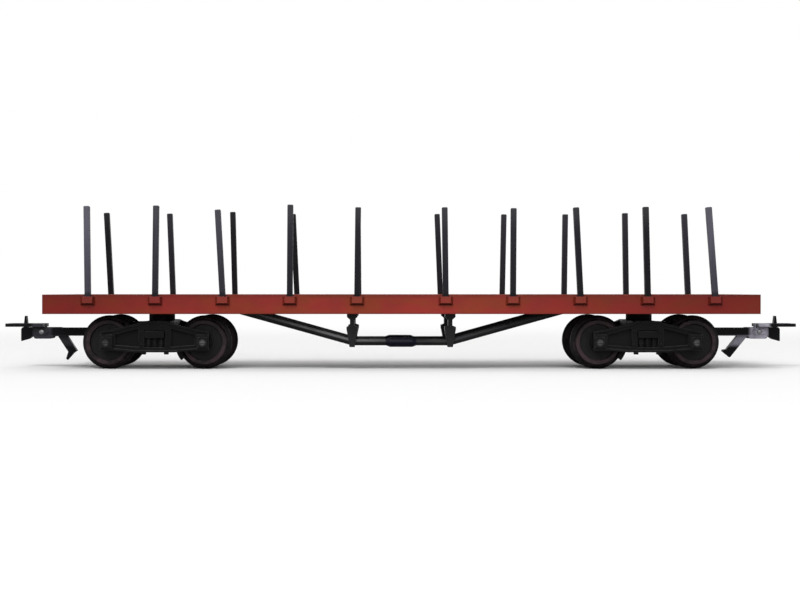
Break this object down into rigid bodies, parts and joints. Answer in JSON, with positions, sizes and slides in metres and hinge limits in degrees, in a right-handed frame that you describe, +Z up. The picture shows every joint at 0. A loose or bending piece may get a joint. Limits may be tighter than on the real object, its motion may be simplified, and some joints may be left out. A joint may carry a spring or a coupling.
{
  "type": "scale-model bogie flat wagon",
  "caption": "Small-scale model flat wagon with a planked deck, rows of loading stakes, truss rods, swivelling bogies, free-rolling wheelsets and hook-and-loop couplers.",
  "frame": {"origin": "on the surface the wheel flanges stand on, below the middle of the wagon", "axes": "+X along the wagon towards its right-hand end, +Y across it away from the viewer, +Z up"},
  "size_m": [0.187, 0.0318, 0.0378],
  "materials": {
    "red_plastic": "satin red-brown moulding",
    "stake_plastic": "satin dark grey moulding",
    "black_plastic": "matt black moulding",
    "truss_plastic": "dusty dark grey moulding",
    "wheel_plastic": "black moulding, rims rubbed brown",
    "coupler_plastic": "black moulding, worn grey at the edges",
    "steel": "plain turned steel"
  },
  "bodies": {
    "wagon_body": {"deck": "red_plastic", "stake_near_01": "stake_plastic", "stake_near_02": "stake_plastic", "stake_near_03": "stake_plastic", "stake_near_04": "stake_plastic", "stake_near_05": "stake_plastic", "stake_near_06": "stake_plastic", "stake_near_07": "stake_plastic", "stake_near_08": "stake_plastic", "stake_near_09": "stake_plastic", "stake_near_10": "stake_plastic", "stake_far_01": "stake_plastic", "stake_far_02": "stake_plastic", "stake_far_03": "stake_plastic", "stake_far_04": "stake_plastic", "stake_far_05": "stake_plastic", "stake_far_06": "stake_plastic", "stake_far_07": "stake_plastic", "stake_far_08": "stake_plastic", "stake_far_09": "stake_plastic", "stake_far_10": "stake_plastic", "ballast_plate": "steel", "underframe": "black_plastic", "truss_rod_near": "truss_plastic", "truss_rod_far": "truss_plastic", "queen_post_near_left": "truss_plastic", "queen_post_near_right": "truss_plastic", "queen_post_far_left": "truss_plastic", "queen_post_far_right": "truss_plastic", "bogie_pivot_left": "steel", "bogie_pivot_right": "steel"},
    "bogie_left": {"bogie_frame_left": "black_plastic", "coupler_pin_left": "steel"},
    "wheelset_left_inner": {"axle_left_inner": "steel", "wheel_left_inner_near": "wheel_plastic", "wheel_left_inner_far": "wheel_plastic"},
    "wheelset_left_outer": {"axle_left_outer": "steel", "wheel_left_outer_near": "wheel_plastic", "wheel_left_outer_far": "wheel_plastic"},
    "coupling_left": {"coupler_left": "coupler_plastic", "hook_pin_left": "steel"},
    "hook_left": {"coupler_hook_left": "coupler_plastic"},
    "bogie_right": {"bogie_frame_right": "black_plastic", "coupler_pin_right": "steel"},
    "wheelset_right_inner": {"axle_right_inner": "steel", "wheel_right_inner_near": "wheel_plastic", "wheel_right_inner_far": "wheel_plastic"},
    "wheelset_right_outer": {"axle_right_outer": "steel", "wheel_right_outer_near": "wheel_plastic", "wheel_right_outer_far": "wheel_plastic"},
    "coupling_right": {"coupler_right": "coupler_plastic", "hook_pin_right": "steel"},
    "hook_right": {"coupler_hook_right": "coupler_plastic"}
  },
  "joints": [
    {"name": "bogie_swivel_left", "type": "hinge", "parent": "wagon_body", "child": "bogie_left", "pos_m": [-0.0567, 0, 0.012], "axis": [0, 0, 1], "range_deg": [-20, 20]},
    {"name": "wheelset_roll_left_inner", "type": "hinge", "parent": "bogie_left", "child": "wheelset_left_inner", "pos_m": [-0.0456, 0, 0.00624], "axis": [0, 1, 0], "continuous": true},
    {"name": "wheelset_roll_left_outer", "type": "hinge", "parent": "bogie_left", "child": "wheelset_left_outer", "pos_m": [-0.0678, 0, 0.00624], "axis": [0, 1, 0], "continuous": true},
    {"name": "coupler_swing_left", "type": "hinge", "parent": "bogie_left", "child": "coupling_left", "pos_m": [-0.0637, 0, 0.0085], "axis": [0, 0, 1], "range_deg": [-10, 10]},
    {"name": "hook_dip_left", "type": "hinge", "parent": "coupling_left", "child": "hook_left", "pos_m": [-0.085, 0, 0.00845], "axis": [0, -1, 0], "range_deg": [0, 28]},
    {"name": "bogie_swivel_right", "type": "hinge", "parent": "wagon_body", "child": "bogie_right", "pos_m": [0.0567, 0, 0.012], "axis": [0, 0, 1], "range_deg": [-20, 20]},
    {"name": "wheelset_roll_right_inner", "type": "hinge", "parent": "bogie_right", "child": "wheelset_right_inner", "pos_m": [0.0456, 0, 0.00624], "axis": [0, 1, 0], "continuous": true},
    {"name": "wheelset_roll_right_outer", "type": "hinge", "parent": "bogie_right", "child": "wheelset_right_outer", "pos_m": [0.0678, 0, 0.00624], "axis": [0, 1, 0], "continuous": true},
    {"name": "coupler_swing_right", "type": "hinge", "parent": "bogie_right", "child": "coupling_right", "pos_m": [0.0637, 0, 0.0085], "axis": [0, 0, 1], "range_deg": [-10, 10]},
    {"name": "hook_dip_right", "type": "hinge", "parent": "coupling_right", "child": "hook_right", "pos_m": [0.085, 0, 0.00845], "axis": [0, 1, 0], "range_deg": [0, 28]}
  ]
}
